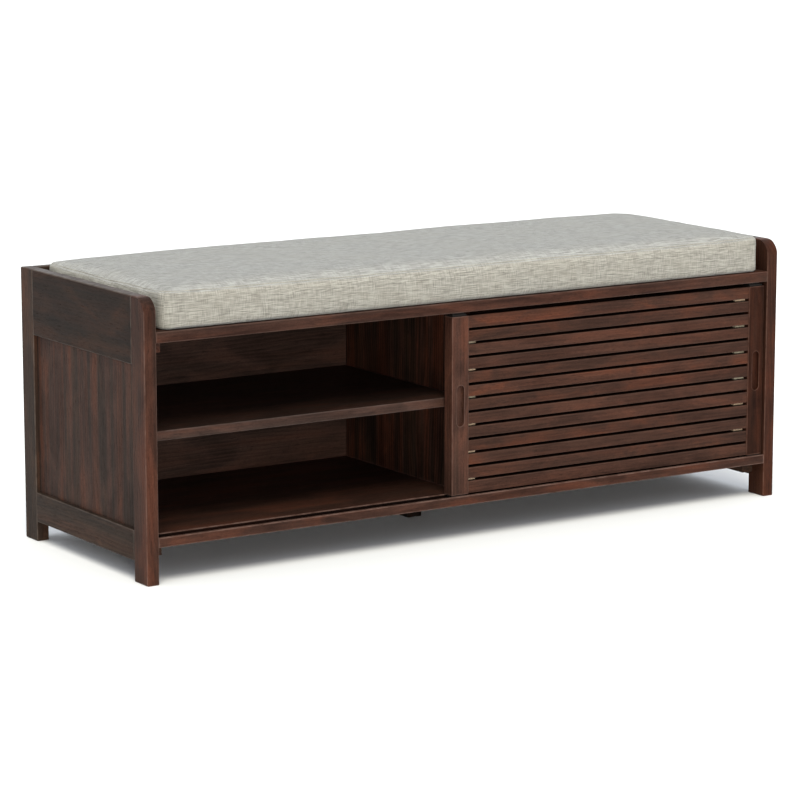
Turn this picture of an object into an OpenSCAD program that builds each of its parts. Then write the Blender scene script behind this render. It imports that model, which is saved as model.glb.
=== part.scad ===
// Storage bench with open shelving, one slatted sliding door and a loose seat cushion.
// Origin at the middle of the footprint on the floor. Front faces -Y, +Z is up.

/* [Overall] */
// Width over the two end frames
bench_w = 1270; // [1100:1:1400]
// Depth from the front edge to the rear edge
bench_d = 425; // [400:1:480]
// Height of the end frames
bench_h = 460; // [440:1:520]

/* [End frames] */
// Thickness of the posts and rails
frame_t = 22; // [20:0.5:28]
// Width of each post, seen from the end
post_w = 42; // [36:1:55]
// Height of the end frame's top rail
top_rail_h = 110; // [90:1:130]
// Height of the end frame's bottom rail
bottom_rail_h = 50; // [45:1:60]
// Height of the bottom rail's lower edge above the floor
bottom_rail_z = 34; // [30:1:36]
// Radius of the front post's top corner
post_corner_r = 30; // [10:1:38]
// Thickness of the end panel
panel_t = 10; // [8:0.5:12]
// Distance from the post's face in to the panel's face
panel_recess = 7; // [4:0.5:8]

/* [Boards] */
// Height of the seat board's top face
seat_z = 405; // [395:1:412]
// Thickness of the seat board
seat_t = 18; // [16:0.5:22]
// Height of the bottom board's top face
floor_z = 76; // [70:1:80]
// Thickness of the bottom board
floor_t = 16; // [15:0.5:18]
// Height of the shelves' top face
shelf_z = 240; // [200:1:280]
// Thickness of the shelves
shelf_t = 16; // [14:0.5:20]
// Distance from the bench's front edge back to the shelves' front edge
shelf_set_back = 35; // [34:1:60]
// Thickness of the divider
divider_t = 18; // [16:0.5:24]
// Place of the divider's left face, from the middle of the bench
divider_x = -15; // [-22:1:-4]
// Thickness of the back panel
back_t = 12; // [9:0.5:12]
// Thickness of the back rails and the middle back stile
back_rail_t = 15; // [13:0.5:18]

/* [Door] */
// Width of the sliding door
door_w = 664; // [650:1:700]
// Thickness of the door's stiles
door_t = 24; // [22:0.5:25]
// Width of each door stile
stile_w = 34; // [30:1:45]
// Distance from the bench's front edge back to the door's face
door_set_back = 6; // [5.5:0.5:7]
// Number of slats in the door
slat_count = 13; // [13:1:13]
// Gap between two slats
slat_gap = 4.5; // [4:0.1:6]
// Height of the top slat and of the bottom slat
end_slat_h = 21; // [20:0.5:24]
// Thickness of the slats
slat_t = 18; // [14:0.5:20]
// Height of each finger pull
pull_h = 70; // [50:1:90]
// Width of each finger pull
pull_w = 15; // [12:0.5:18]
// Depth of each finger pull
pull_depth = 5.5; // [4:0.5:12]

/* [Cushion] */
// Width of the cushion
cushion_w = 1200; // [1030:1:1205]
// Depth of the cushion
cushion_d = 404; // [380:1:405]
// Thickness of the cushion
cushion_t = 64.5; // [50:0.5:80]
// Thickness of the cushion's cover
cover_t = 1.5; // [1:0.1:2]

/* [Hidden] */
$fn = 48;

arris_r = 1.6;         // eased arrises of the solid timber
soft_arris_r = 3;      // eased top edge of the end frames
panel_tongue = 6;      // how far a panel goes into its grooves
panel_play = 0.2;      // play of a panel in its grooves
slide_play = 0.3;      // clearance under the door's glides
overcut = 1;           // how far a cutter reaches past the face it opens

left_x = -bench_w / 2;
inner_x = left_x + frame_t;
front_y = -bench_d / 2;
rear_y = bench_d / 2;
front_post_y = front_y + post_w;
rear_post_y = rear_y - post_w;
bottom_rail_top = bottom_rail_z + bottom_rail_h;
top_rail_z = bench_h - top_rail_h;
back_face_y = rear_y - back_rail_t - back_t;
back_panel_rise = 6;
seat_low_z = seat_z - seat_t;
floor_low_z = floor_z - floor_t;
shelf_low_z = shelf_z - shelf_t;
shelf_front_y = front_y + shelf_set_back;

// Cleats that carry the boards, set back behind the door's path
cleat_h = 20;
seat_cleat_w = 24;
bottom_cleat_w = 22;
shelf_cleat_w = 20;
shelf_cleat_h = 18;
cleat_arris_r = 1;
cleat_front_y = front_y + 32;
panel_inner_x = left_x + panel_recess + panel_t;

// Middle leg
leg_w = 28;
leg_stud_r = 4;
leg_stud_low = 22;
leg_stud_grip = 10;

// Door and its two running grooves
door_low_z = floor_z + 1.5;
door_high_z = seat_low_z - 7.5;
door_stile_r = 2;
door_h = door_high_z - door_low_z;
door_gap = 1;
door_right_x = -inner_x - door_gap;
door_left_x = door_right_x - door_w;
door_front_y = front_y + door_set_back;
door_rear_y = door_front_y + door_t;
slat_front_y = door_front_y + 1.5;
slat_x0 = door_left_x + stile_w;
slat_x1 = door_right_x - stile_w;
slat_rear_y = slat_front_y + slat_t;
tenon_l = 12;
tenon_inset = 4;
tenon_arris_r = 1;
mortise_play = 0.5;
groove_front_y = front_y + 5;
groove_rear_y = door_rear_y + 1;
floor_groove_depth = 6;
top_groove_depth = 9;
tongue_t = 10;
tongue_play = 0.5;
tongue_front_y = door_front_y + (door_t - tongue_t) / 2;
mid_slat_count = slat_count - 2;
mid_slat_h = (door_h - 2 * end_slat_h - (slat_count - 1) * slat_gap) / mid_slat_count;
spacer_l = 21;
spacer_t = 7;
spacer_set_back = 11;

// Sliding fittings of the door
guide_plate_t = 3;
guide_inset = 3;
guide_tongue_inset = 5;
guide_tongue_clear = 2;
glide_inset = 2;

// Round fastenings
dowel_r = 4;
dowel_l = 40;
dowel_play = 0.1;
shelf_dowel_r = 3;
shelf_dowel_in_divider = 7;
shelf_dowel_in_shelf = 15;
screw_r = 2;
screw_head_r = 4;
screw_head_h = 3;
screw_play = 0.15;
screw_recess_l = 4;
screw_recess_w = 0.8;
screw_recess_depth = 1.5;

// ---------- Shapes ----------

// Rectangle between two corners with rounded corners
module rounded_rect(lo, hi, r) {
    translate([lo[0] + r, lo[1]]) square([hi[0] - lo[0] - 2 * r, hi[1] - lo[1]]);
    translate([lo[0], lo[1] + r]) square([hi[0] - lo[0], hi[1] - lo[1] - 2 * r]);
    for (x = [lo[0] + r, hi[0] - r], y = [lo[1] + r, hi[1] - r])
        translate([x, y]) circle(r);
}

// Bar between two corners, with its four arrises along X rounded
module bar_x(lo, hi, r = arris_r) {
    translate([lo[0], 0, 0]) rotate([90, 0, 90]) linear_extrude(hi[0] - lo[0])
        rounded_rect([lo[1], lo[2]], [hi[1], hi[2]], r);
}

// Bar between two corners, with its four arrises along Y rounded
module bar_y(lo, hi, r = arris_r) {
    translate([0, hi[1], 0]) rotate([90, 0, 0]) linear_extrude(hi[1] - lo[1])
        rounded_rect([lo[0], lo[2]], [hi[0], hi[2]], r);
}

// Bar between two corners, with its four arrises along Z rounded
module bar_z(lo, hi, r = arris_r) {
    translate([0, 0, lo[2]]) linear_extrude(hi[2] - lo[2])
        rounded_rect([lo[0], lo[1]], [hi[0], hi[1]], r);
}

// Square-edged block between two corners
module block(lo, hi) {
    translate(lo) cube(hi - lo);
}

// Peg whose axis starts at a point and runs along an axis named "x", "y" or "z"
module peg(start, length, r, along) {
    turn = along == "x" ? [0, 90, 0] : along == "y" ? [-90, 0, 0] : [0, 0, 0];
    translate(start) rotate(turn) cylinder(h = length, r = r);
}

// Countersunk screw with a cross recess, head at the origin, shank pointing along +Z
module screw(length, play = 0, recess = true) {
    difference() {
        rotate_extrude()
            polygon([[0, 0], [screw_head_r + play, 0], [screw_r + play, screw_head_h + play],
                     [screw_r + play, length - screw_r], [0, length + play]]);
        if (recess)
            for (a = [0, 90])
                rotate([0, 0, a])
                    block([-screw_recess_l / 2, -screw_recess_w / 2, -overcut],
                          [screw_recess_l / 2, screw_recess_w / 2, screw_recess_depth]);
    }
}

// Places of the screws and dowels, shared by each fastening and the holes for it

// Screws through the seat and bottom cleats, sideways into the rails
side_screw_y = [-120, 0, 120];
// Screws through the seat and bottom cleats, up or down into the boards
board_screw_y = [-80, 40, 160];
side_screw_grip = 14;
board_screw_l = cleat_h + 11;
// Screws through the shelf cleats, sideways into the end panels and up into the shelves
shelf_screw_y = [-130, 10, 130];
shelf_screw_l = shelf_cleat_w + 7;
shelf_board_screw_y = [-100, 100];
shelf_board_screw_l = shelf_cleat_h + 9;
shelf_board_screw_x = panel_inner_x + shelf_cleat_w * 0.65;
// Screws through the back panel into the back rails
back_screw_x = [-560, -280, 0, 280, 560];
back_screw_z = [floor_low_z - 10, seat_low_z + seat_t / 2];
back_screw_l = back_t + 10;
// Dowels of the end frames, two at each end of each rail
end_dowel_z = [bottom_rail_z + 14, bottom_rail_z + 34, top_rail_z + 30, top_rail_z + 80];
// Dowels between the back rails and the rear posts
back_dowel_z = [bottom_rail_z + 12, bottom_rail_z + 38, top_rail_z + 22, top_rail_z + 88];
back_dowel_l = 34;
back_dowel_in_post = 14;
// Dowels of the middle back stile, half in the stile and half in a rail
stile_dowel_x = [-10, 10];
stile_dowel_l = 30;
// Dowels of the divider, clear of the middle leg's stud
divider_dowel_y = [-125, 40, 125];
divider_dowel_l = 30;
divider_dowel_in_board = 10;
// Dowels of the shelves, staggered front to back so that the two shelves' holes don't meet
left_shelf_dowel_y = [-130, 120];
right_shelf_dowel_y = [-110, 140];

// All the screws of the left end, each with its head in a cleat
module end_screws(play = 0, recess = true) {
    // Each pair: the height of a cleat's underside and the cleat's width
    for (c = [[seat_low_z - cleat_h, seat_cleat_w], [floor_low_z - cleat_h, bottom_cleat_w]]) {
        for (y = side_screw_y)
            translate([inner_x + c[1], y, c[0] + cleat_h / 2])
                rotate([0, -90, 0]) screw(c[1] + side_screw_grip, play, recess);
        for (y = board_screw_y)
            translate([inner_x + c[1] / 2, y, c[0]]) screw(board_screw_l, play, recess);
    }
    for (y = shelf_screw_y)
        translate([panel_inner_x + shelf_cleat_w, y, shelf_low_z - shelf_cleat_h / 2])
            rotate([0, -90, 0]) screw(shelf_screw_l, play, recess);
    for (y = shelf_board_screw_y)
        translate([shelf_board_screw_x, y, shelf_low_z - shelf_cleat_h])
            screw(shelf_board_screw_l, play, recess);
}

module end_screw_holes() {
    end_screws(screw_play, false);
}

module both_ends() {
    children();
    mirror([1, 0, 0]) children();
}

// Dowels between the rails and the posts of the left end
module end_dowels(play = 0) {
    for (z = end_dowel_z, y = [front_post_y, rear_post_y])
        peg([left_x + frame_t / 2, y - dowel_l / 2, z], dowel_l, dowel_r + play, "y");
}

// Dowels from the back rails into the left rear post
module back_rail_dowels(play = 0) {
    for (z = back_dowel_z)
        peg([inner_x - back_dowel_in_post, rear_y - back_rail_t / 2, z], back_dowel_l,
            shelf_dowel_r + play, "x");
}

// Dowels from the middle back stile into the back rails
module back_stile_dowels(play = 0) {
    for (x = stile_dowel_x, z = [bottom_rail_top, top_rail_z])
        peg([x, rear_y - back_rail_t / 2, z - stile_dowel_l / 2], stile_dowel_l,
            shelf_dowel_r + play, "z");
}

// Dowels from the divider into the boards above and below it
module divider_dowel_set(play = 0) {
    lower_z = floor_z - divider_dowel_in_board;
    upper_z = seat_low_z + divider_dowel_in_board - divider_dowel_l;
    for (y = divider_dowel_y, z = [upper_z, lower_z])
        peg([divider_x + divider_t / 2, y, z], divider_dowel_l, dowel_r + play, "z");
}

// Dowels from the divider into the two shelves
module shelf_dowel_set(play = 0) {
    z = shelf_z - shelf_t / 2;
    l = shelf_dowel_in_divider + shelf_dowel_in_shelf;
    for (y = left_shelf_dowel_y)
        peg([divider_x - shelf_dowel_in_shelf, y, z], l, shelf_dowel_r + play, "x");
    for (y = right_shelf_dowel_y)
        peg([divider_x + divider_t - shelf_dowel_in_divider, y, z], l, shelf_dowel_r + play, "x");
}

// Screws that hold the back panel to the back rails
module back_screw_set(play = 0, recess = true) {
    for (x = back_screw_x, z = back_screw_z)
        translate([x, back_face_y, z]) rotate([-90, 0, 0]) screw(back_screw_l, play, recess);
}

// ---------- End frames ----------

// Side view of a post with a rounded front-top corner
module post_outline(y0, y1, r) {
    square_h = bench_h - r;
    translate([y0, 0]) square([y1 - y0, square_h]);
    translate([y0 + r, 0]) square([y1 - y0 - r, bench_h]);
    translate([y0 + r, square_h]) circle(r);
}

module panel_groove() {
    block([left_x + panel_recess, front_post_y - panel_tongue, bottom_rail_top - panel_tongue],
          [panel_inner_x, rear_post_y + panel_tongue, top_rail_z + panel_tongue]);
}

module left_front_post() {
    color("#5f4137")
    difference() {
        intersection() {
            bar_z([left_x, front_y, 0], [inner_x, front_post_y, bench_h]);
            bar_y([left_x, front_y, 0], [inner_x, front_post_y, bench_h], soft_arris_r);
            translate([left_x, 0, 0]) rotate([90, 0, 90]) linear_extrude(frame_t)
                post_outline(front_y, front_post_y, post_corner_r);
        }
        panel_groove();
        end_dowels(dowel_play);
    }
}

module left_rear_post() {
    color("#5f4137")
    difference() {
        intersection() {
            bar_z([left_x, rear_post_y, 0], [inner_x, rear_y, bench_h]);
            bar_y([left_x, rear_post_y, 0], [inner_x, rear_y, bench_h], soft_arris_r);
            bar_x([left_x, rear_post_y, 0], [inner_x, rear_y, bench_h]);
        }
        panel_groove();
        end_dowels(dowel_play);
        back_rail_dowels(dowel_play);
    }
}

module left_top_rail() {
    color("#5a3c33")
    difference() {
        bar_y([left_x, front_post_y, top_rail_z], [inner_x, rear_post_y, bench_h], soft_arris_r);
        panel_groove();
        end_dowels(dowel_play);
        end_screw_holes();
    }
}

module left_bottom_rail() {
    color("#5a3c33")
    difference() {
        bar_y([left_x, front_post_y, bottom_rail_z], [inner_x, rear_post_y, bottom_rail_top]);
        panel_groove();
        end_dowels(dowel_play);
        end_screw_holes();
    }
}

module left_end_panel() {
    reach = panel_tongue - panel_play;
    color("#4a322b")
    difference() {
        block([left_x + panel_recess + panel_play / 2, front_post_y - reach, bottom_rail_top - reach],
              [panel_inner_x - panel_play / 2, rear_post_y + reach, top_rail_z + reach]);
        end_screw_holes();
    }
}

module right_front_post() mirror([1, 0, 0]) left_front_post();
module right_rear_post() mirror([1, 0, 0]) left_rear_post();
module right_top_rail() mirror([1, 0, 0]) left_top_rail();
module right_bottom_rail() mirror([1, 0, 0]) left_bottom_rail();
module right_end_panel() mirror([1, 0, 0]) left_end_panel();

// ---------- Boards ----------

module seat_board() {
    color("#5f4137")
    difference() {
        bar_x([inner_x, front_y, seat_low_z], [-inner_x, back_face_y, seat_z]);
        block([inner_x - overcut, tongue_front_y - tongue_play, seat_low_z - overcut],
              [-inner_x + overcut, tongue_front_y + tongue_t + tongue_play, seat_low_z + top_groove_depth]);
        both_ends() end_screw_holes();
        divider_dowel_set(dowel_play);
    }
}

module bottom_board() {
    color("#5f4137")
    difference() {
        bar_x([inner_x, front_y, floor_low_z], [-inner_x, back_face_y, floor_z]);
        block([inner_x - overcut, groove_front_y, floor_z - floor_groove_depth],
              [-inner_x + overcut, groove_rear_y, floor_z + overcut]);
        both_ends() end_screw_holes();
        divider_dowel_set(dowel_play);
        middle_leg_stud_shape(dowel_play);
    }
}

module divider() {
    color("#4e352c")
    difference() {
        bar_z([divider_x, shelf_front_y, floor_z], [divider_x + divider_t, back_face_y, seat_low_z]);
        divider_dowel_set(dowel_play);
        shelf_dowel_set(dowel_play);
    }
}

// Shelf between two places along X
module shelf(x0, x1) {
    color("#583c33")
    difference() {
        bar_x([x0, shelf_front_y, shelf_low_z], [x1, back_face_y, shelf_z]);
        both_ends() end_screw_holes();
        shelf_dowel_set(dowel_play);
    }
}

module left_shelf() shelf(inner_x, divider_x);
module right_shelf() shelf(divider_x + divider_t, -inner_x);

module back_panel() {
    color("#4e352c")
    difference() {
        block([inner_x, back_face_y, bottom_rail_z + back_panel_rise], [-inner_x, rear_y - back_rail_t, seat_z]);
        back_screw_set(screw_play, false);
    }
}

module back_rail(z0, z1, r) {
    color("#5a3c33")
    difference() {
        bar_x([inner_x, rear_y - back_rail_t, z0], [-inner_x, rear_y, z1], r);
        both_ends() back_rail_dowels(dowel_play);
        back_stile_dowels(dowel_play);
        back_screw_set(screw_play, false);
    }
}

module back_top_rail() back_rail(top_rail_z, bench_h, soft_arris_r);
module back_bottom_rail() back_rail(bottom_rail_z, bottom_rail_top, arris_r);

module back_middle_stile() {
    color("#5a3c33")
    difference() {
        bar_z([-post_w / 2, rear_y - back_rail_t, bottom_rail_top], [post_w / 2, rear_y, top_rail_z]);
        back_stile_dowels(dowel_play);
    }
}

// ---------- Cleats and middle leg ----------

// Cleat w wide and h high along the inside of the left end, with its top face at z1
module cleat(x0, w, y0, y1, z1, h) {
    color("#6e5344")
    difference() {
        bar_y([x0, y0, z1 - h], [x0 + w, y1, z1], cleat_arris_r);
        end_screw_holes();
    }
}

module left_seat_cleat()
    cleat(inner_x, seat_cleat_w, cleat_front_y, back_face_y, seat_low_z, cleat_h);
module left_bottom_cleat()
    cleat(inner_x, bottom_cleat_w, cleat_front_y, back_face_y, floor_low_z, cleat_h);
module left_shelf_cleat()
    cleat(panel_inner_x, shelf_cleat_w, front_post_y + panel_play, rear_post_y - panel_play,
          shelf_low_z, shelf_cleat_h);
module right_seat_cleat() mirror([1, 0, 0]) left_seat_cleat();
module right_bottom_cleat() mirror([1, 0, 0]) left_bottom_cleat();
module right_shelf_cleat() mirror([1, 0, 0]) left_shelf_cleat();

module middle_leg_stud_shape(play = 0) {
    peg([0, 0, leg_stud_low], floor_low_z + leg_stud_grip - leg_stud_low, leg_stud_r + play, "z");
}

module middle_leg() {
    color("#4e352c")
    difference() {
        bar_z([-leg_w / 2, -leg_w / 2, 0], [leg_w / 2, leg_w / 2, floor_low_z]);
        middle_leg_stud_shape(dowel_play);
    }
}

module middle_leg_stud() color("silver") middle_leg_stud_shape();

// ---------- Fastenings ----------

module frame_dowels() {
    color("burlywood") {
        both_ends() {
            end_dowels();
            back_rail_dowels();
        }
        back_stile_dowels();
    }
}

module divider_dowels() color("burlywood") divider_dowel_set();
module shelf_dowels() color("burlywood") shelf_dowel_set();
module cleat_screws() color("silver") both_ends() end_screws();
module back_screws() color("silver") back_screw_set();

// ---------- Sliding door ----------

// Height of a slat's lower edge and of its upper edge, counted from the top slat, 1
function slat_high(i) = i == 1 ? door_high_z
    : door_high_z - end_slat_h - slat_gap - (i - 2) * (mid_slat_h + slat_gap);
function slat_low(i) = slat_high(i) - (i == 1 || i == slat_count ? end_slat_h : mid_slat_h);

module door_slat(i) {
    color("#6a4336") {
        bar_x([slat_x0, slat_front_y, slat_low(i)], [slat_x1, slat_rear_y, slat_high(i)]);
        bar_x([slat_x0 - tenon_l, slat_front_y + tenon_inset, slat_low(i) + tenon_inset],
              [slat_x1 + tenon_l, slat_rear_y - tenon_inset, slat_high(i) - tenon_inset], tenon_arris_r);
    }
}

module slat_mortises() {
    reach = tenon_l + mortise_play;
    for (i = [1 : slat_count])
        block([slat_x0 - reach, slat_front_y + tenon_inset, slat_low(i) + tenon_inset],
              [slat_x1 + reach, slat_rear_y - tenon_inset, slat_high(i) - tenon_inset]);
}

// Routed pocket with round ends, in the face of a stile whose left edge is at x0
module finger_pull(x0) {
    r = pull_w / 2;
    mid = (door_low_z + door_high_z) / 2;
    translate([x0 + stile_w / 2, door_front_y + pull_depth, mid]) rotate([90, 0, 0])
        linear_extrude(pull_depth + overcut) {
            square([pull_w, pull_h - pull_w], center = true);
            for (z = [-1, 1]) translate([0, z * (pull_h / 2 - r)]) circle(r);
        }
}

module door_stile(x0) {
    color("#5f4137")
    difference() {
        bar_z([x0, door_front_y, door_low_z], [x0 + stile_w, door_rear_y, door_high_z], door_stile_r);
        slat_mortises();
        finger_pull(x0);
    }
}

module door_left_stile() door_stile(door_left_x);
module door_right_stile() door_stile(slat_x1);

// Pale blocks that keep the gaps between the slats, at the right end of every odd gap
// and at the left end of every even gap
module door_slat_spacers() {
    y0 = slat_front_y + spacer_set_back;
    color("burlywood")
    for (i = [1 : slat_count - 1]) {
        x = i % 2 == 0 ? slat_x0 : slat_x1 - spacer_l;
        block([x, y0, slat_high(i + 1)], [x + spacer_l, y0 + spacer_t, slat_low(i)]);
    }
}

// Guide on top of each stile: a plate and a tongue that runs in the seat board's groove
module door_top_guides() {
    plate_top = door_high_z + guide_plate_t;
    tongue_top = seat_low_z + top_groove_depth - guide_tongue_clear;
    color("#a9a39a")
    for (x = [door_left_x, slat_x1]) {
        bar_z([x + guide_inset, door_front_y + guide_inset, door_high_z],
              [x + stile_w - guide_inset, door_rear_y - guide_inset, plate_top], door_stile_r);
        bar_z([x + guide_tongue_inset, tongue_front_y, plate_top],
              [x + stile_w - guide_tongue_inset, tongue_front_y + tongue_t, tongue_top], door_stile_r);
    }
}

// Glide under each stile: a low runner that carries the door in the bottom groove
module door_bottom_glides() {
    color("#a9a39a")
    for (x = [door_left_x, slat_x1])
        bar_z([x + guide_inset, door_front_y + glide_inset, floor_z - floor_groove_depth + slide_play],
              [x + stile_w - guide_inset, door_rear_y - glide_inset, door_low_z], door_stile_r);
}

// ---------- Cushion ----------

cushion_front_y = front_y + 3;
cushion_low_z = seat_z + 0.5;
cushion_corner_r = 14;
cushion_edge_r = 8;
foam_play = 0.1;

// Rounded cushion body, shrunk all round by an inset
module cushion_form(inset) {
    lo = [-cushion_w / 2 + inset, cushion_front_y + inset, cushion_low_z + inset];
    hi = [cushion_w / 2 - inset, cushion_front_y + cushion_d - inset, cushion_low_z + cushion_t - inset];
    edge = cushion_edge_r - inset;
    intersection() {
        bar_z(lo, hi, cushion_corner_r - inset);
        bar_x(lo, hi, edge);
        bar_y(lo, hi, edge);
    }
}

module cushion_cover() {
    color("#b9b4aa")
    difference() {
        cushion_form(0);
        cushion_form(cover_t);
    }
}

module cushion_foam() color("#e8dfc2") cushion_form(cover_t + foam_play);

// ---------- Nodes ----------

left_front_post();
left_rear_post();
left_top_rail();
left_bottom_rail();
left_end_panel();
right_front_post();
right_rear_post();
right_top_rail();
right_bottom_rail();
right_end_panel();
seat_board();
bottom_board();
divider();
left_shelf();
right_shelf();
back_panel();
back_top_rail();
back_bottom_rail();
back_middle_stile();
left_seat_cleat();
right_seat_cleat();
left_bottom_cleat();
right_bottom_cleat();
left_shelf_cleat();
right_shelf_cleat();
middle_leg();
middle_leg_stud();
frame_dowels();
divider_dowels();
shelf_dowels();
cleat_screws();
back_screws();
door_left_stile();
door_right_stile();
door_slat_spacers();
door_top_guides();
door_bottom_glides();
cushion_cover();
cushion_foam();
for (i = [1 : slat_count])
    door_slat(i);
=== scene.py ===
import math

import bpy
import numpy as np
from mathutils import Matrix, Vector, noise


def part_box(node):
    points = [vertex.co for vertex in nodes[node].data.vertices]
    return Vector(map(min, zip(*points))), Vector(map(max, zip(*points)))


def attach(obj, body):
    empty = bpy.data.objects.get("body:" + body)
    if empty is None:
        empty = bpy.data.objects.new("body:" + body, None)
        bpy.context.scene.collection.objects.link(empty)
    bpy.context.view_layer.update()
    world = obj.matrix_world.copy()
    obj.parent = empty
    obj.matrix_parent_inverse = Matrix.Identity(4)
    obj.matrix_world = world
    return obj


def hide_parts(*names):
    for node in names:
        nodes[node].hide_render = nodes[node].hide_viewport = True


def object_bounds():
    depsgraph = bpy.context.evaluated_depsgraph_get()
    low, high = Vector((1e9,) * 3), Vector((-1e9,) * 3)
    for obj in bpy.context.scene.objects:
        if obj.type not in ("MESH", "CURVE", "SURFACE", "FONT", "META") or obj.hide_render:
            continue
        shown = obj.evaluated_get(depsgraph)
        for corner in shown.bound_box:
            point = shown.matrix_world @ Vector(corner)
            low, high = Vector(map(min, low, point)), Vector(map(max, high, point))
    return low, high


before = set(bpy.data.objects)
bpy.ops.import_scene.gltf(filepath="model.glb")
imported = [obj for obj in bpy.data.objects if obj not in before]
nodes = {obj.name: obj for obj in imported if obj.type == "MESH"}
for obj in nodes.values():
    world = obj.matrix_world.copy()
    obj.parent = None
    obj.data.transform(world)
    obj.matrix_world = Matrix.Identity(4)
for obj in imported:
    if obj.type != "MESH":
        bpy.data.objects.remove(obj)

cad_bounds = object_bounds()
MM = 0.001


# ---------------------------------------------------------------- node helper

NODE_SPACING = 180


class Tree:
    """Builds a node tree: values are numbers, tuples or the sockets of earlier nodes."""

    def __init__(self, tree):
        self.tree = tree
        self.column = 0

    def node(self, kind, inputs=None, **settings):
        n = self.tree.nodes.new(kind)
        n.location = (self.column * NODE_SPACING, 0)
        self.column += 1
        for key, value in settings.items():
            setattr(n, key, value)
        for key, value in (inputs or {}).items():
            self.put(n.inputs[key], value)
        return n

    def put(self, socket, value):
        if isinstance(value, bpy.types.NodeSocket):
            self.tree.links.new(value, socket)
        else:
            socket.default_value = value

    def math(self, operation, *values, clamp=False):
        n = self.node("ShaderNodeMath", operation=operation, use_clamp=clamp)
        for socket, value in zip(n.inputs, values):
            self.put(socket, value)
        return n.outputs[0]

    def add(self, a, b):
        return self.math("ADD", a, b)

    def sub(self, a, b):
        return self.math("SUBTRACT", a, b)

    def mul(self, a, b):
        return self.math("MULTIPLY", a, b)

    def mul_add(self, a, b, c, clamp=False):
        return self.math("MULTIPLY_ADD", a, b, c, clamp=clamp)

    def least(self, a, b):
        return self.math("MINIMUM", a, b)

    def most(self, a, b):
        return self.math("MAXIMUM", a, b)

    def size(self, a):
        return self.math("ABSOLUTE", a)

    def over(self, a, b):
        return self.math("GREATER_THAN", a, b)

    def under(self, a, b):
        return self.math("LESS_THAN", a, b)

    def vector(self, operation, a, b=(0, 0, 0), scale=1.0):
        n = self.node("ShaderNodeVectorMath", operation=operation)
        self.put(n.inputs[0], a)
        if operation == "SCALE":
            self.put(n.inputs["Scale"], scale)
        else:
            self.put(n.inputs[1], b)
        return n.outputs["Value" if operation == "LENGTH" else "Vector"]

    def split(self, v):
        return self.node("ShaderNodeSeparateXYZ", {0: v}).outputs

    def join(self, x, y, z):
        return self.node("ShaderNodeCombineXYZ", {0: x, 1: y, 2: z}).outputs[0]

    def noise_node(self, v, scale=1.0, detail=2.0, rough=0.5, distortion=0.0):
        return self.node("ShaderNodeTexNoise", {
            "Vector": v, "Scale": scale, "Detail": detail, "Roughness": rough,
            "Distortion": distortion})

    def noise(self, v, **look):
        return self.noise_node(v, **look).outputs["Fac"]

    def remap(self, value, lo, hi, to_lo=0.0, to_hi=1.0, smooth=True):
        n = self.node("ShaderNodeMapRange", {0: value, 1: lo, 2: hi, 3: to_lo, 4: to_hi},
                      interpolation_type="SMOOTHSTEP" if smooth else "LINEAR")
        return n.outputs[0]

    def mix(self, factor, a, b, blend="MIX"):
        n = self.node("ShaderNodeMix", data_type="RGBA", blend_type=blend)
        self.put(n.inputs[0], factor)
        self.put(n.inputs[6], a)
        self.put(n.inputs[7], b)
        return n.outputs[2]

    def tint(self, color, by):
        return self.mix(1.0, color, by, "MULTIPLY")

    def bump(self, height, strength, distance):
        n = self.node("ShaderNodeBump", {
            "Strength": strength, "Distance": distance, "Height": height})
        return n.outputs[0]

    def surface(self, inputs):
        """A Principled shader with these inputs, joined to the material's output."""
        shader = self.node("ShaderNodeBsdfPrincipled", inputs)
        self.node("ShaderNodeOutputMaterial", {0: shader.outputs[0]})


def rgb(r, g, b):
    return (r, g, b, 1.0)


def new_material(name):
    """An empty material and the builder of its nodes."""
    m = bpy.data.materials.new(name)
    m.use_nodes = True
    m.node_tree.nodes.clear()
    return m, Tree(m.node_tree)


# ---------------------------------------------------------------- timber

# Noise scales per metre, along the grain and then across it
WANDER = (2.2, 9.0)
UNEVEN_RINGS = (9.0, 90.0)
FIBRE = (11.0, 420.0)
BROAD_FIGURE = (4.5, 60.0)
COLOR_BANDS = (1.6, 46.0)
PORES = (75.0, 1150.0)
BLOTCHES = (7.0, 17.0)
SPECKLES = (300.0, 900.0)
KNOTS = (5.0, 11.0, 3.0)             # along the board, across it and through it
RUB_AND_HIGHLIGHT = 55.0

RINGS_PER_METRE = 150.0
WANDER_REACH = 0.05                  # how far the fibres stray, in metres
PITH_ASIDE = 12 * MM                 # the pith lies this far beside a board's middle
KNOT_PUSH = 10 * MM                  # a knot pushes the rings this far aside

WARM = rgb(1.34, 1.0, 0.80)          # tints that multiply the wood's own colour
COOL = rgb(0.50, 0.72, 0.76)
RUDDY = rgb(1.30, 1.02, 0.86)
RUBBED_AND_HIGHLIGHT = rgb(1.9, 2.5, 2.9)
PORE_COLOR = rgb(0.010, 0.005, 0.004)
KNOT_RING_COLOR = rgb(0.10, 0.032, 0.014)
KNOT_CORE_COLOR = rgb(0.012, 0.006, 0.004)


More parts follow.
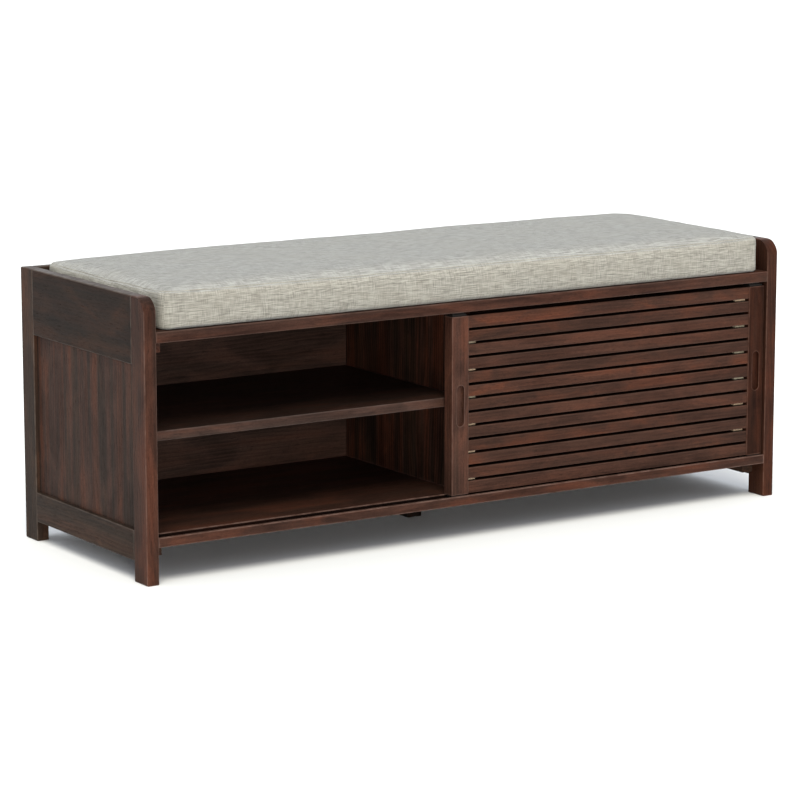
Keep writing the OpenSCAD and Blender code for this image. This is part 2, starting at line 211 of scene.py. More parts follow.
def timber_group():
    """Solid timber: rings round an offset pith, fibres, pores, bands, blotches and knots."""
    tree = bpy.data.node_groups.new("timber", "ShaderNodeTree")
    face = tree.interface
    for name, kind in (("Grain", "Vector"), ("Edge", "Float"), ("Pith", "Float"),
                       ("Bands", "Float"), ("Figure", "Float"), ("Knots", "Float"),
                       ("Tone", "Float"), ("Warmth", "Float"), ("WearAndHighlight", "Float"),
                       ("Dark", "Color"), ("Light", "Color")):
        face.new_socket(name, in_out="INPUT", socket_type="NodeSocket" + kind)
    for name, kind in (("Color", "Color"), ("Roughness", "Float"), ("Height", "Float")):
        face.new_socket(name, in_out="OUTPUT", socket_type="NodeSocket" + kind)
    t = Tree(tree)
    given = t.node("NodeGroupInput").outputs
    u, v, w = t.split(given["Grain"])

    def stretched(scales, **look):
        along, across = scales
        return t.noise(t.join(t.mul(u, along), t.mul(v, across), t.mul(w, across)), **look)

    # Slow wander of the fibres
    along, across = WANDER
    slow = t.join(t.mul(u, along), t.mul(v, across), t.mul(w, across))
    wander = t.noise_node(slow, detail=3.0).outputs["Color"]
    wander = t.vector("SUBTRACT", wander, (0.5, 0.5, 0.5))
    drift_v, drift_w, _ = t.split(t.vector("SCALE", wander, scale=WANDER_REACH))

    # Knots, which push the rings aside
    knot_at = t.join(*[t.mul(axis, scale) for axis, scale in zip((u, v, w), KNOTS)])
    knot = t.node("ShaderNodeTexVoronoi", {"Vector": knot_at, "Scale": 1.0, "Randomness": 1.0},
                  voronoi_dimensions="3D", feature="F1")
    chosen = t.over(t.split(knot.outputs["Color"])[1], t.sub(1.0, given["Knots"]))
    near_knot = t.mul(t.remap(knot.outputs["Distance"], 0.36, 0.0), chosen)
    knot_core = t.mul(t.remap(knot.outputs["Distance"], 0.10, 0.04), chosen)

    # Growth rings: a slow rise to the dark late wood, then a quick fall
    ring_v = t.add(t.add(v, drift_v), PITH_ASIDE)
    ring_w = t.add(t.add(w, drift_w), given["Pith"])
    radius = t.vector("LENGTH", t.join(ring_v, ring_w, 0.0))
    radius = t.mul_add(near_knot, KNOT_PUSH, radius)
    uneven = stretched(UNEVEN_RINGS)
    ring = t.math("FRACT", t.mul_add(uneven, 0.9, t.mul(radius, RINGS_PER_METRE)))
    ring = t.sub(t.remap(ring, 0.0, 0.80), t.remap(ring, 0.84, 1.0))

    fibre = stretched(FIBRE, detail=3.0, rough=0.62)
    broad = stretched(BROAD_FIGURE, detail=3.0, rough=0.55)
    band = stretched(COLOR_BANDS, detail=1.0, rough=0.4, distortion=0.15)
    pore = t.remap(stretched(PORES, detail=1.0), 0.60, 0.70)
    blotch = stretched(BLOTCHES, detail=3.0, rough=0.6, distortion=0.8)
    speckle = stretched(SPECKLES, rough=0.7)

    # From dark to light wood by figure, fibre and blotches, a little to the dark side
    figure = t.mul_add(t.sub(0.5, ring), 0.30,
                       t.remap(broad, 0.30, 0.70, -0.20, 0.20, smooth=False))
    grain = t.mul_add(figure, given["Figure"], 0.46)
    grain = t.add(grain, t.remap(fibre, 0.28, 0.72, -0.19, 0.19, smooth=False))
    grain = t.math("ADD", grain, t.remap(blotch, 0.32, 0.68, -0.19, 0.19), clamp=True)
    color = t.mix(grain, given["Dark"], given["Light"])

    # Warm patches along the grain, cool and ruddy bands, speckles, pores and knots
    cloud = t.remap(blotch, 0.46, 0.66)
    color = t.mix(t.mul(cloud, given["Warmth"]), color, t.tint(color, WARM))
    cool = t.tint(color, COOL)
    ruddy = t.tint(color, RUDDY)
    color = t.mix(t.mul(t.remap(band, 0.50, 0.40), given["Bands"]), color, cool)
    color = t.mix(t.mul(t.remap(band, 0.52, 0.60), given["Bands"]), color, ruddy)
    shade = t.mul(t.remap(speckle, 0.3, 0.7, 0.80, 1.20, smooth=False), given["Tone"])
    color = t.tint(color, t.join(shade, shade, shade))
    color = t.mix(t.mul(pore, 0.45), color, PORE_COLOR)
    color = t.mix(t.mul(near_knot, 0.30), color, KNOT_RING_COLOR)
    color = t.mix(t.mul(knot_core, 0.85), color, KNOT_CORE_COLOR)

    # Rubbed arrises: wear, and painted highlights where the arrises catch the light
    rub_and_highlight = t.noise(given["Grain"], scale=RUB_AND_HIGHLIGHT, detail=3.0, rough=0.6)
    rubbed_and_lit = t.mul(t.mul(given["Edge"], t.remap(rub_and_highlight, 0.30, 0.62, 0.35, 1.0)), given["WearAndHighlight"])
    color = t.mix(rubbed_and_lit, color, t.tint(given["Light"], RUBBED_AND_HIGHLIGHT))

    rough = t.remap(fibre, 0.25, 0.75, 0.40, 0.54, smooth=False)
    rough = t.mul_add(pore, 0.14, rough)
    rough = t.mul_add(rubbed_and_lit, -0.08, rough)
    height = t.mul_add(pore, -0.8, t.mul(fibre, 0.5))
    height = t.mul_add(ring, -0.12, height)
    t.node("NodeGroupOutput", {"Color": color, "Roughness": rough, "Height": height})
    return tree


TIMBER = timber_group()
GRAIN_ORDER = {"x": (0, 1, 2), "y": (1, 0, 2), "z": (2, 0, 1)}

# Dark and light wood of each stain
BROWN = (rgb(0.0200, 0.0090, 0.0062), rgb(0.0760, 0.0345, 0.0238))
SLAT_BROWN = (rgb(0.0210, 0.0090, 0.0060), rgb(0.0780, 0.0350, 0.0235))
RED = (rgb(0.0195, 0.0075, 0.0048), rgb(0.0740, 0.0295, 0.0185))
DULL = (rgb(0.0172, 0.0106, 0.0078), rgb(0.0600, 0.0362, 0.0262))
SOFT = (rgb(0.0190, 0.0106, 0.0080), rgb(0.0720, 0.0400, 0.0310))
PALE = (rgb(0.50, 0.38, 0.25), rgb(0.78, 0.66, 0.50))

# How wear, painted highlights and painted shade fade in: distances from an arris where they
# start and where they are full
ARRIS_WEAR_AND_HIGHLIGHT = (2.4 * MM, 0.3 * MM)
GROOVE_WEAR_AND_HIGHLIGHT = (2.8 * MM, 0.9 * MM)
CROWN_WEAR_AND_SHEEN = (2.2 * MM, 0.2 * MM)
PULL_WEAR_AND_HIGHLIGHT = (1.5 * MM, 0.2 * MM)
FLAT_FACE_SHADE = (0.7 * MM, 0.1 * MM)
GROOVE_LIP = 1.8 * MM                # depth to which a groove's walls are rubbed and painted with a highlight
GROOVE_SHADE_DEPTH = 1.7 * MM               # depth from which its walls are painted in shade
GROOVE_PAINTED_SHADE = 0.85                  # how much darker a groove is painted inside, a painted shade
GROOVE_SLACK = 0.1 * MM
PULL_LIP = 0.9 * MM                  # depth to which a finger pull's rim is rubbed and painted with a highlight
SCATTER = ((12.9898, 43.7), (78.233, 0.02), (37.719, 0.02))   # step and reach along each axis
WOOD_BUMP = (0.35, 0.6 * MM)         # strength and distance


def scattered(seed):
    """A place of its own in the timber for each seed."""
    return tuple(math.sin(seed * step) * reach for step, reach in SCATTER)


def timber(name, node, along, seed, colors=BROWN, tone=1.0, warmth=0.5, bands=0.35,
           figure=0.7, knots=0.05, pith=0.055, wear=0.35, gloss=0.06, crown=0.0,
           groove=None, pull=None, flats=1.0):
    """Material for one CAD node: grain along an axis, worn and painted with highlights where two
    faces meet.

    crown is how far the top face is painted pale, wear and a painted sheen. groove is the front
    and rear of a running groove in the node's top face, painted in shade inside and with
    highlights on its lips. pull is a finger pull's half straight length and radius; its rim gets
    a painted highlight. flats is the tone of the top and bottom faces beside that of the rest,
    a painted shade."""
    lo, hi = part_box(node)
    centre, half = (lo + hi) / 2, (hi - lo) / 2
    m, t = new_material(name)
    where = t.node("ShaderNodeTexCoord").outputs["Object"]
    local = t.vector("SUBTRACT", where, tuple(centre))
    inside = t.vector("SUBTRACT", t.vector("ABSOLUTE", local), tuple(half))

    # Two of the three distances are small at an arris, so the middle one marks it
    a, b, c = t.split(inside)
    extremes = t.add(t.most(t.most(a, b), c), t.least(t.least(a, b), c))
    middle = t.sub(t.add(t.add(a, b), c), extremes)
    edge = t.remap(middle, -ARRIS_WEAR_AND_HIGHLIGHT[0], -ARRIS_WEAR_AND_HIGHLIGHT[1])
    # A groove's lips are painted pale, partly wear and partly a painted highlight; its inside is
    # painted darker, a painted shade.
    if groove:
        front, rear = groove
        _, y, z = t.split(where)
        near_top = t.over(z, hi.z - GROOVE_LIP)
        for side in groove:
            worn_and_lit = t.remap(t.size(t.sub(y, side)), *GROOVE_WEAR_AND_HIGHLIGHT)
            edge = t.most(edge, t.mul(worn_and_lit, near_top))
        in_groove_shade = t.mul(t.over(y, front - GROOVE_SLACK), t.under(y, rear + GROOVE_SLACK))
        in_groove_shade = t.mul(in_groove_shade, t.under(z, hi.z - GROOVE_SHADE_DEPTH))
        tone = t.mul_add(in_groove_shade, -GROOVE_PAINTED_SHADE * tone, tone)
    # The top face is painted pale by crown: partly wear, partly a painted sheen
    if crown:
        edge = t.most(edge, t.remap(c, -CROWN_WEAR_AND_SHEEN[0], -CROWN_WEAR_AND_SHEEN[1], 0.0, crown))
    # A finger pull's rim is painted pale: partly wear, partly a painted highlight
    if pull:
        straight, radius = pull
        x, y, z = t.split(local)
        past = t.most(t.sub(t.size(z), straight), 0.0)
        off = t.size(t.sub(t.vector("LENGTH", t.join(x, 0.0, past)), radius))
        rim = t.mul(t.remap(off, *PULL_WEAR_AND_HIGHLIGHT), t.under(y, PULL_LIP - half.y))
        edge = t.most(edge, rim)
    # Painted shade: flats darkens the top and bottom faces, blackening the slats' gaps and the
    # shelf tops
    if flats != 1.0:
        tone = t.mul(t.remap(c, -FLAT_FACE_SHADE[0], -FLAT_FACE_SHADE[1], 1.0, flats), tone)

    axes = t.split(local)
    grain = t.join(*[axes[i] for i in GRAIN_ORDER[along]])
    grain = t.vector("ADD", grain, scattered(seed))
    group = t.node("ShaderNodeGroup", node_tree=TIMBER)
    for key, value in (("Grain", grain), ("Edge", edge), ("Pith", pith), ("Bands", bands),
                       ("Figure", figure), ("Knots", knots), ("Tone", tone),
                       ("Warmth", warmth), ("WearAndHighlight", wear), ("Dark", colors[0]),
                       ("Light", colors[1])):
        t.put(group.inputs[key], value)
    wood = group.outputs
    t.surface({"Base Color": wood["Color"], "Roughness": wood["Roughness"],
               "Normal": t.bump(wood["Height"], *WOOD_BUMP), "Specular IOR Level": gloss})
    return m


def dress(node, material):
    mesh = nodes[node].data
    mesh.materials.clear()
    mesh.materials.append(material)


def timber_node(node, along, seed, **look):
    dress(node, timber("wood_" + node, node, along, seed, **look))


# End frames, the right one a little darker than the left, a painted shade on its inner face
# above the cushion
for side, s, stain, post_tone_and_shade, rail_tone_and_shade in (("left", 1.0, BROWN, 0.98, 0.60),
                                             ("right", 2.0, RED, 0.82, 0.52)):
    timber_node(side + "_front_post", "z", s + 0.11, colors=stain, tone=post_tone_and_shade, pith=0.07,
                warmth=0.45, wear=0.6, crown=0.9, gloss=0.05)
    timber_node(side + "_rear_post", "z", s + 0.23, colors=DULL, pith=0.05, wear=0.6,
                crown=0.9, gloss=0.04)
    timber_node(side + "_top_rail", "y", s + 0.37, colors=DULL, tone=rail_tone_and_shade, warmth=0.6,
                figure=0.4, wear=0.7, crown=1.0, gloss=0.04)
    timber_node(side + "_bottom_rail", "y", s + 0.41, colors=DULL, knots=0.14, wear=0.5,
                gloss=0.04)
    timber_node(side + "_end_panel", "z", s + 0.53, colors=SOFT, tone=1.04, figure=0.45,
                bands=0.6, knots=0.07, wear=0.0, gloss=0.03)
    timber_node(side + "_seat_cleat", "y", s + 0.61, tone=1.3, wear=0.1)
    timber_node(side + "_bottom_cleat", "y", s + 0.67, colors=DULL, wear=0.1)
    timber_node(side + "_shelf_cleat", "y", s + 0.71, colors=DULL, wear=0.1)

# Boards, with the door's running groove 5 to 31 mm behind the front
FRONT = cad_bounds[0][1]
GROOVE = (FRONT + 5 * MM, FRONT + 31 * MM)
timber_node("seat_board", "x", 3.1, knots=0.04, pith=0.09, wear=0.45)
timber_node("bottom_board", "x", 3.3, pith=0.09, wear=1.0, groove=GROOVE, flats=0.8)
for name, seed in (("left_shelf", 3.5), ("right_shelf", 3.7)):
    timber_node(name, "x", seed, colors=SOFT, tone=1.15, warmth=0.4, pith=0.08, flats=0.5)
timber_node("divider", "z", 3.9, knots=0.04, figure=1.8, bands=0.8)
timber_node("back_panel", "x", 4.1, colors=SOFT, tone=1.1, warmth=0.25, knots=0.06,
            figure=0.6, bands=0.2, wear=0.0)
timber_node("back_top_rail", "x", 4.3, colors=DULL, wear=0.6, crown=0.8)
timber_node("back_bottom_rail", "x", 4.5, colors=DULL)
timber_node("back_middle_stile", "z", 4.7, colors=DULL)
timber_node("middle_leg", "z", 4.9, colors=DULL, tone=0.25, wear=0.0)

# Door: stiles with routed finger pulls, slats that differ a little from one to the next
PULL = (27.5 * MM, 7.5 * MM)
SLATS = 13
timber_node("door_left_stile", "z", 5.1, tone=1.3, warmth=0.35, pith=0.06, pull=PULL,
            wear=0.5)
timber_node("door_right_stile", "z", 5.3, colors=RED, tone=0.62, warmth=0.35, pith=0.06,
            pull=PULL, wear=0.5, gloss=0.03)
timber_node("door_slat_spacers", "x", 5.5, colors=PALE, warmth=0.1, knots=0.0, wear=0.0)
for i in range(1, SLATS + 1):
    timber_node(f"door_slat_{i}", "x", 6.0 + i * 0.37, colors=SLAT_BROWN,
                tone=1.08 + 0.11 * math.sin(i * 2.4), pith=0.03 + 0.004 * i,
                warmth=0.55 + 0.3 * math.sin(i * 1.3), wear=0.25, figure=0.35, bands=0.2,
                flats=0.35)
for name, seed in (("frame_dowels", 12.0), ("divider_dowels", 13.0), ("shelf_dowels", 14.0)):
    timber_node(name, "y", seed, colors=PALE, warmth=0.2, knots=0.0, wear=0.0)


# ---------------------------------------------------------------- steel and nylon

def steel_material():
    m, t = new_material("zinc_plated_steel")
    where = t.node("ShaderNodeTexCoord").outputs["Object"]
    cloud = t.noise(where, scale=420.0, detail=3.0)
    brushed = t.noise(t.vector("MULTIPLY", where, (4000.0, 900.0, 900.0)), detail=1.0)
    t.surface({"Base Color": t.mix(cloud, rgb(0.44, 0.43, 0.40), rgb(0.62, 0.61, 0.58)),
               "Metallic": 1.0, "Roughness": t.remap(brushed, 0.2, 0.8, 0.24, 0.42),
               "Normal": t.bump(brushed, 0.15, 0.1 * MM)})
    return m


def nylon_material():
    m, t = new_material("moulded_nylon")
    where = t.node("ShaderNodeTexCoord").outputs["Object"]
    mottled = t.noise(where, scale=160.0)
    scuffs = t.noise(t.vector("MULTIPLY", where, (60.0, 900.0, 900.0)))
    color = t.mix(mottled, rgb(0.013, 0.011, 0.010), rgb(0.023, 0.019, 0.017))
    color = t.mix(t.remap(scuffs, 0.58, 0.72, 0.0, 0.4), color, rgb(0.06, 0.052, 0.046))
    t.surface({"Base Color": color, "Roughness": t.remap(mottled, 0.3, 0.7, 0.38, 0.52),
               "Normal": t.bump(scuffs, 0.2, 0.2 * MM), "Specular IOR Level": 0.12})
    return m


STEEL = steel_material()
for name in ("cleat_screws", "back_screws", "middle_leg_stud"):
    dress(name, STEEL)
NYLON = nylon_material()
for name in ("door_top_guides", "door_bottom_glides"):
    dress(name, NYLON)


# ---------------------------------------------------------------- linen

# Noise scales per metre, along the warp and then across it
WARP_SLUBS = (50.0, 540.0)
WEFT_SLUBS = (620.0, 60.0)
FINE_WARP = (45.0, 1500.0)
FINE_WEFT = (1500.0, 60.0)
MOTTLE = (9.0, 16.0)
YARN_SHIFTS = 330.0

YARN_REACH = 0.16                    # how far a yarn's slubs are shifted at most, in metres
THREAD_PITCH = 0.9 * MM
THREAD_WANDER = 2.0                  # radians
CONTRAST, MIDDLE = 1.45, 0.52        # of pale and dark yarn

DARK_YARN = rgb(0.165, 0.161, 0.148)
PALE_YARN = rgb(0.408, 0.403, 0.380)
BEIGE_YARN = rgb(0.30, 0.288, 0.255)
GAP_COLOR = rgb(0.13, 0.122, 0.106)
SIDE_LIGHT_TINT = rgb(1.03, 0.99, 0.915)
ARRIS_HIGHLIGHT_TINT = rgb(1.12, 1.12, 1.12)


def linen_material():
    """Plain-woven linen: threads and slubs by the face's own direction, so it needs no UVs."""
    m, t = new_material("linen_cover")
    coord = t.node("ShaderNodeTexCoord").outputs
    x, y, z = t.split(coord["Object"])
    nx, ny, nz = t.split(t.vector("ABSOLUTE", coord["Normal"]))
    on_end = t.over(nx, t.most(ny, nz))
    on_top = t.over(nz, t.most(nx, ny))
    # a runs along the cloth's length and b across it
    a = t.add(t.mul(t.sub(1.0, on_end), x), t.mul(on_end, y))
    b = t.add(t.mul(t.sub(1.0, on_top), z), t.mul(on_top, y))

    def stretched(a, b, scales, layer, **look):
        return t.noise(t.join(t.mul(a, scales[0]), t.mul(b, scales[1]), layer), **look)

    # Each yarn's slubs start at a place of their own
    warp_start = t.noise(t.join(9.0, t.mul(b, YARN_SHIFTS), 0.0), detail=0.0)
    weft_start = t.noise(t.join(t.mul(a, YARN_SHIFTS), 9.0, 0.0), detail=0.0)
    start_a = t.mul_add(warp_start, YARN_REACH, a)
    start_b = t.mul_add(weft_start, YARN_REACH, b)
    warp_slub = stretched(start_a, b, WARP_SLUBS, 0.0, rough=0.6)
    weft_slub = stretched(a, start_b, WEFT_SLUBS, 3.0, detail=1.0, rough=0.6)
    fine_warp = stretched(a, b, FINE_WARP, 5.0, detail=1.0)
    fine_weft = stretched(a, b, FINE_WEFT, 8.0, detail=1.0)
    mottle = stretched(a, b, MOTTLE, 1.0, detail=3.0, rough=0.6)
    turns = 2 * math.pi / THREAD_PITCH
    warp = t.math("SINE", t.mul_add(fine_warp, THREAD_WANDER, t.mul(b, turns)))
    weft = t.math("SINE", t.mul_add(fine_weft, THREAD_WANDER, t.mul(a, turns)))
    weave = t.mul_add(t.mul(warp, weft), 0.5, 0.5)

    # Pale and dark yarns lie side by side, warp over weft and weft over warp
    yarn = t.add(t.remap(warp_slub, 0.30, 0.70, -0.5, 0.5, smooth=False),
                 t.remap(weft_slub, 0.30, 0.70, -0.22, 0.22, smooth=False))
    yarn = t.mul_add(t.sub(fine_warp, 0.5), 0.8, yarn)
    yarn = t.mul_add(t.sub(fine_weft, 0.5), 0.6, yarn)
    color = t.mix(t.mul_add(yarn, CONTRAST, MIDDLE, clamp=True), DARK_YARN, PALE_YARN)
    color = t.mix(t.remap(mottle, 0.35, 0.65, 0.0, 0.25), color, BEIGE_YARN)
    color = t.mix(t.mul(t.remap(weave, 0.22, 0.02), 0.30), color, GAP_COLOR)

    # Painted light: the sides are tinted warmer, a painted warm light, and the rounded upper
    # arris is painted lighter, a painted highlight
    color = t.mix(t.remap(nz, 0.85, 0.40), color, t.tint(color, SIDE_LIGHT_TINT))
    arris_highlight = t.mul(t.remap(nz, 0.20, 0.55), t.remap(nz, 0.995, 0.90))
    color = t.mix(arris_highlight, color, t.tint(color, ARRIS_HIGHLIGHT_TINT))

    height = t.add(t.mul(weave, 0.5), t.mul(warp_slub, 0.7))
    height = t.mul_add(weft_slub, 0.7, height)
    t.surface({"Base Color": color, "Roughness": t.remap(warp_slub, 0.3, 0.7, 0.92, 0.78),
               "Normal": t.bump(height, 0.6, 0.6 * MM), "Specular IOR Level": 0.25,
               "Sheen Weight": 0.10, "Sheen Roughness": 0.5})
    return m


LINEN = linen_material()


# ---------------------------------------------------------------- cushion

PAD_LO, PAD_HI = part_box("cushion_cover")
PAD_CENTRE = (PAD_LO + PAD_HI) / 2
PAD_HALF = (PAD_HI - PAD_LO) / 2
REST_Z = PAD_LO.z

# Rest shape
SHRINK = 1.5 * MM                    # the pad starts this much smaller all round, and swells
ARRIS = 10.0 * MM                    # soft rounding of the sewn upper arrises
LOW_ARRIS = 5.0 * MM                 # the lower ones, which the board squares up
CORNER = 17.0 * MM                   # plan corner radius
CELLS_X, CELLS_Y = 150, 50
CORNER_CELLS = 4
SIDE_STEPS = 6
SEAM_STEPS = (-4.6, -2.2, -1.0, 0.0, 1.0, 2.2, 4.6, 7.85)   # round an arris from its seam, mm
FAR = 99.0                           # distance given to points with no seam near them

# Swelling
SWELL_FRAMES = 20
CLOTH = {"quality": 6, "mass": 0.35, "tension_stiffness": 25, "compression_stiffness": 25,
         "shear_stiffness": 12, "bending_stiffness": 0.8, "use_pressure": True,
         "uniform_pressure_force": 0.5}
CAP = np.array((2.6, 2.6, 8.0)) * MM   # furthest that a point may move along each axis

# Filling and seams: depth, scale per metre and place in the noise of each unevenness
UNEVEN = ((1.3 * MM, 7.0, Vector((3.1, 0, 0))), (0.5 * MM, 24.0, Vector((0, 5.7, 0))))
UNEVEN_FADE = 12 * MM                # the unevenness fades out this far above the board
PUCKER_DEPTH, PUCKER_SCALE, PUCKER_TALL = 0.45 * MM, 85.0, 0.3
PUCKER_REACH = 5.0                   # mm from the seam
SEAM_DEPTH, SEAM_WIDTH = 1.2 * MM, 0.9         # the widths are in mm from the seam
LIP_HEIGHT, LIP_AT, LIP_WIDTH = 0.25 * MM, 2.4, 1.2
LOW_SEAM = 0.45                      # strength of the lower seam beside the upper one
REAR_GAP = 1.2 * MM                  # kept clear in front of the back rail
REAR_REACH = 8 * MM                  # over which the rear is held back


def quarter(a, b):
    """Square corner to quarter disc."""
    return a * math.sqrt(1 - b * b / 2), b * math.sqrt(1 - a * a / 2)


def plan_point(px, py, hx, hy, r):
    """Moves a point of a rectangular grid into a rectangle with round corners."""
    ax, ay = abs(px), abs(py)
    cx, cy = max(ax - (hx - r), 0.0) / r, max(ay - (hy - r), 0.0) / r
    if cx > 0 and cy > 0:
        qx, qy = quarter(min(cx, 1.0), min(cy, 1.0))
        ax, ay = hx - r + qx * r, hy - r + qy * r
    return math.copysign(ax, px), math.copysign(ay, py)


def outward(px, py, hx, hy, r):
    """Direction out of that rectangle at a point of its rim."""
    dx, dy = max(abs(px) - (hx - r), 0.0), max(abs(py) - (hy - r), 0.0)
    length = math.hypot(dx, dy)
    return math.copysign(dx / length, px), math.copysign(dy / length, py)


def spaced(half, r, cells):
    """Places from -half to half, finer over the corner's radius."""
    straight = cells - 2 * CORNER_CELLS
    inner = [-half + r + (2 * half - 2 * r) * k / straight for k in range(straight + 1)]
    edge = [r * k / CORNER_CELLS for k in range(CORNER_CELLS)]
    return [-half + e for e in edge] + inner + [half - e for e in reversed(edge)]


def pad_profile(high, low, grow):
    """The pad's side from the top down: outward, height, mm from a seam, strength of the seam.

    Above the upper seam the cloth stays smooth, so its steps there count as far from it.
    """
    profile = []
    for step in SEAM_STEPS:
        angle = math.pi / 4 - step * MM / ARRIS
        profile.append((ARRIS * math.cos(angle), high + ARRIS * math.sin(angle),
                        FAR if step < 0 else step, 1.0))
    for k in range(1, SIDE_STEPS):
        profile.append((ARRIS, high + (low - high) * k / SIDE_STEPS, FAR, 1.0))
    for step in reversed(SEAM_STEPS):
        angle = math.pi / 4 - step * MM / ARRIS
        profile.append((grow + LOW_ARRIS * math.cos(angle), low - LOW_ARRIS * math.sin(angle),
                        step * LOW_ARRIS / ARRIS, LOW_SEAM))
    return profile


def pad_rest():
    """Rest shape: vertices, faces, and each vertex's distance in mm and strength of seam."""
    hx = PAD_HALF.x - SHRINK - ARRIS
    hy = PAD_HALF.y - SHRINK - ARRIS
    r = CORNER - ARRIS
    high = PAD_HI.z - SHRINK - ARRIS
    low = REST_Z + LOW_ARRIS
    grow = ARRIS - LOW_ARRIS
    verts, faces, seams = [], [], []

    def sheet(z, more):
        first = len(verts)
        for py in spaced(hy + more, r + more, CELLS_Y):
            for px in spaced(hx + more, r + more, CELLS_X):
                verts.append((*plan_point(px, py, hx + more, hy + more, r + more), z))
                seams.append((FAR, 1.0))
        return first

    xs, ys = spaced(hx, r, CELLS_X), spaced(hy, r, CELLS_Y)
    wide, deep = len(xs), len(ys)
    loop = [(i, 0) for i in range(wide - 1)] + [(wide - 1, j) for j in range(deep - 1)]
    loop += [(i, deep - 1) for i in range(wide - 1, 0, -1)]
    loop += [(0, j) for j in range(deep - 1, 0, -1)]
    rim = [plan_point(xs[i], ys[j], hx, hy, r) for i, j in loop]
    normals = [outward(px, py, hx, hy, r) for px, py in rim]

    top = sheet(high + ARRIS, 0.0)
    rings = [[top + j * wide + i for i, j in loop]]
    for out, z, distance, strength in pad_profile(high, low, grow):
        ring = []
        for (px, py), (nx, ny) in zip(rim, normals):
            ring.append(len(verts))
            verts.append((px + nx * out, py + ny * out, z))
            seams.append((distance, strength))
        rings.append(ring)
    bottom = sheet(REST_Z, grow)
    rings.append([bottom + j * wide + i for i, j in loop])

    for j in range(deep - 1):
        for i in range(wide - 1):
            k = j * wide + i
            faces.append((top + k, top + k + 1, top + k + wide + 1, top + k + wide))
            faces.append((bottom + k, bottom + k + wide, bottom + k + wide + 1, bottom + k + 1))
    count = len(loop)
    for upper, lower in zip(rings, rings[1:]):
        for k in range(count):
            n = (k + 1) % count
            faces.append((upper[k], lower[k], lower[n], upper[n]))
    verts = [(px + PAD_CENTRE.x, py + PAD_CENTRE.y, z) for px, py, z in verts]
    return verts, faces, seams


def coords(mesh):
    co = np.zeros(len(mesh.vertices) * 3)
    mesh.vertices.foreach_get("co", co)
    return co.reshape(-1, 3)


def put_coords(mesh, co):
    mesh.vertices.foreach_set("co", co.astype(np.float32).ravel())
    mesh.update()


def swell(obj, rest):
    """Blows the cover up with Cloth, its flat underside held on the board."""
    held = obj.vertex_groups.new(name="on_board")
    flat = [i for i, v in enumerate(rest) if v[2] < REST_Z + 0.1 * MM]
    held.add(flat, 1.0, "REPLACE")
    cloth = obj.modifiers.new("cloth", "CLOTH")
    for key, value in CLOTH.items():
        setattr(cloth.settings, key, value)
    cloth.settings.vertex_group_mass = "on_board"
    cloth.settings.effector_weights.gravity = 0
    cloth.collision_settings.use_collision = False
    cloth.collision_settings.use_self_collision = False
    scene = bpy.context.scene
    for f in range(1, SWELL_FRAMES + 1):
        scene.frame_set(f)
    grown = obj.evaluated_get(bpy.context.evaluated_depsgraph_get())
    blown = coords(grown.data)
    obj.modifiers.remove(cloth)
    obj.vertex_groups.remove(held)
    scene.frame_set(1)
    return blown


def bell(x, width):
    return np.exp(-(x / width) ** 2)


def unevenness(co, seams):
    """How far each point stands proud: uneven filling, puckers beside seams, and the seams."""
    from_seam, strength = seams[:, 0], seams[:, 1]
    push = np.zeros(len(co))
    for k, p in enumerate(co):
        v = Vector(p)
        for depth, scale, place in UNEVEN:
            push[k] += depth * noise.noise(v * scale + place)
    near = bell(np.abs(from_seam), PUCKER_REACH)
    for k in np.nonzero(near > 0.02)[0]:
        v = Vector(co[k]) * PUCKER_SCALE
        pucker = noise.noise(Vector((v.x, v.y, v.z * PUCKER_TALL)))
        push[k] += near[k] * PUCKER_DEPTH * pucker
    push -= SEAM_DEPTH * bell(from_seam, SEAM_WIDTH) * strength
    push += LIP_HEIGHT * bell(np.abs(from_seam) - LIP_AT, LIP_WIDTH) * strength
    return push * np.clip((co[:, 2] - REST_Z) / UNEVEN_FADE, 0, 1)


def make_cushion():
    verts, faces, seams = pad_rest()
    mesh = bpy.data.meshes.new("seat_cushion")
    mesh.from_pydata(verts, [], faces)
    mesh.update()
    obj = bpy.data.objects.new("seat_cushion", mesh)
    bpy.context.scene.collection.objects.link(obj)
    rest = np.array(verts)
    moved = swell(obj, rest) - rest
    co = rest + CAP * np.tanh(moved / CAP)
    put_coords(mesh, co)
    mesh.polygons.foreach_set("use_smooth", [True] * len(mesh.polygons))
    normals = np.zeros(len(mesh.vertices) * 3)
    mesh.vertices.foreach_get("normal", normals)
    co = co + normals.reshape(-1, 3) * unevenness(co, np.array(seams))[:, None]

    # The underside rests flat, and nothing reaches the back rail
    co[:, 2] = np.maximum(co[:, 2], REST_Z)
    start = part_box("back_top_rail")[0].y - REAR_GAP - REAR_REACH
    over = co[:, 1] - start
    held_back = start + REAR_REACH * np.tanh(np.maximum(over, 0) / REAR_REACH)
    co[:, 1] = np.where(over > 0, held_back, co[:, 1])
    put_coords(mesh, co)
    mesh.materials.append(LINEN)
    smooth = obj.modifiers.new("finer", "SUBSURF")
    smooth.levels = smooth.render_levels = 1
    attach(obj, "cushion")
    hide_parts("cushion_cover", "cushion_foam")


make_cushion()


# ---------------------------------------------------------------- floor, light and camera

FLOOR_HALF = 60.0
FLOOR_COLOR = rgb(0.92, 0.92, 0.92)
SKY_COLOR = rgb(0.945, 1.0, 1.07)

# Azimuth (0 is in front of the bench, 90 on its right), elevation, strength, angle and tint
SUNS = {"key": (-30, 57, 1.95, 30, (1.0, 0.955, 0.82)),
        "low": (-22, 7, 0.86, 12, (1.0, 0.97, 0.90))}
SUN_DISTANCE = 4

CAMERA_AT = (-3.017184, -4.606846, 1.218712)
CAMERA_YAW, CAMERA_PITCH = 33.037, 10.445      # degrees to the right of +Y, and down
CAMERA_LENS = 146.01


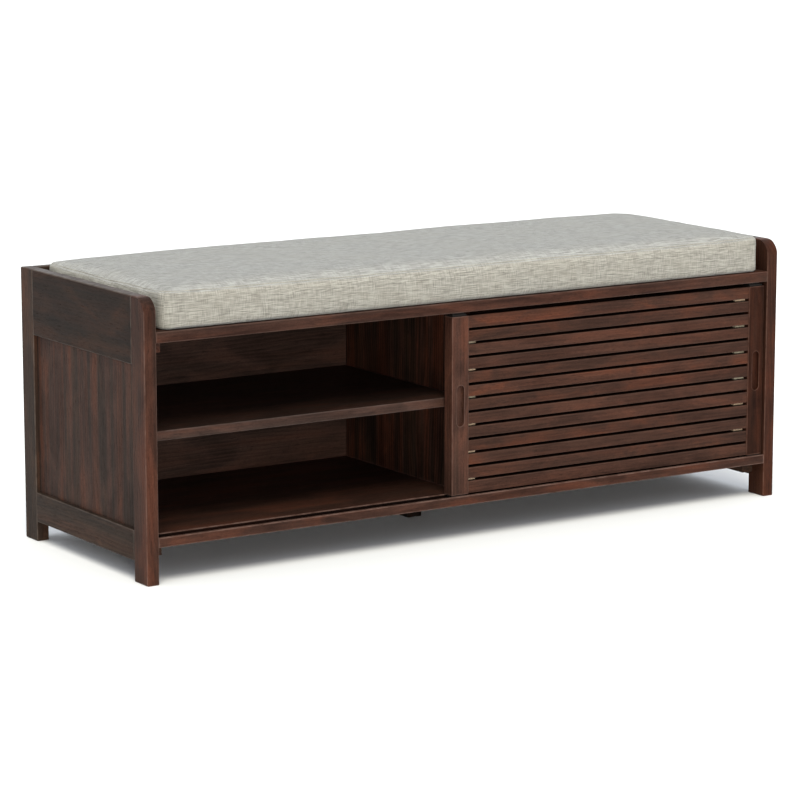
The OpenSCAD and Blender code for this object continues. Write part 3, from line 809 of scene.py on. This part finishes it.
def place(name, data, at, back):
    """Adds a light or camera that looks away from the direction back."""
    obj = bpy.data.objects.new(name, data)
    obj.rotation_mode = "QUATERNION"
    obj.rotation_quaternion = back.to_track_quat("Z", "Y")
    obj.location = at
    bpy.context.scene.collection.objects.link(obj)
    return obj


def floor():
    m = bpy.data.materials.new("pale_floor")
    m.use_nodes = True
    shader = m.node_tree.nodes["Principled BSDF"]
    shader.inputs["Base Color"].default_value = FLOOR_COLOR
    shader.inputs["Roughness"].default_value = 0.95
    shader.inputs["Specular IOR Level"].default_value = 0.1
    mesh = bpy.data.meshes.new("floor")
    corners = [(sx * FLOOR_HALF, sy * FLOOR_HALF, 0)
               for sx, sy in ((-1, -1), (1, -1), (1, 1), (-1, 1))]
    mesh.from_pydata(corners, [], [(0, 1, 2, 3)])
    mesh.materials.append(m)
    obj = bpy.data.objects.new("floor", mesh)
    bpy.context.scene.collection.objects.link(obj)


def sun(name, azimuth, elevation, strength, angle, tint):
    lamp = bpy.data.lights.new(name, "SUN")
    lamp.energy = strength
    lamp.color = tint
    lamp.angle = math.radians(angle)
    az, el = math.radians(azimuth), math.radians(elevation)
    source = Vector((math.sin(az) * math.cos(el), -math.cos(az) * math.cos(el), math.sin(el)))
    place(name, lamp, source * SUN_DISTANCE, source)


def studio():
    """A sky that is pale overhead and at the horizon, with a bright wall behind on the right."""
    scene = bpy.context.scene
    world = bpy.data.worlds.new("studio")
    world.use_nodes = True
    tree = world.node_tree
    t = Tree(tree)
    across, behind, up = t.split(t.node("ShaderNodeTexCoord").outputs["Generated"])
    wall = t.mul(t.remap(behind, 0.45, 0.85), t.remap(up, 0.75, 0.35, 0.0, 0.7))
    wall = t.mul(wall, t.remap(across, 0.0, 0.4))
    glow = t.add(t.remap(up, 0.0, 0.8, 0.30, 1.12), wall)
    glow = t.add(glow, t.remap(up, 0.20, 0.12, 0.0, 0.75))
    back = tree.nodes["Background"]
    back.inputs["Color"].default_value = SKY_COLOR
    tree.links.new(glow, back.inputs["Strength"])
    scene.world = world
    for name, look in SUNS.items():
        sun(name, *look)
    scene.view_settings.view_transform = "Standard"
    scene.view_settings.look = "None"


def camera():
    data = bpy.data.cameras.new("camera")
    data.sensor_width = 36.0
    data.lens = CAMERA_LENS
    data.clip_start, data.clip_end = 0.1, 200.0
    yaw, pitch = math.radians(CAMERA_YAW), math.radians(CAMERA_PITCH)
    ahead = Vector((math.sin(yaw) * math.cos(pitch), math.cos(yaw) * math.cos(pitch),
                    -math.sin(pitch)))
    bpy.context.scene.camera = place("camera", data, CAMERA_AT, -ahead)


floor()
studio()
camera()
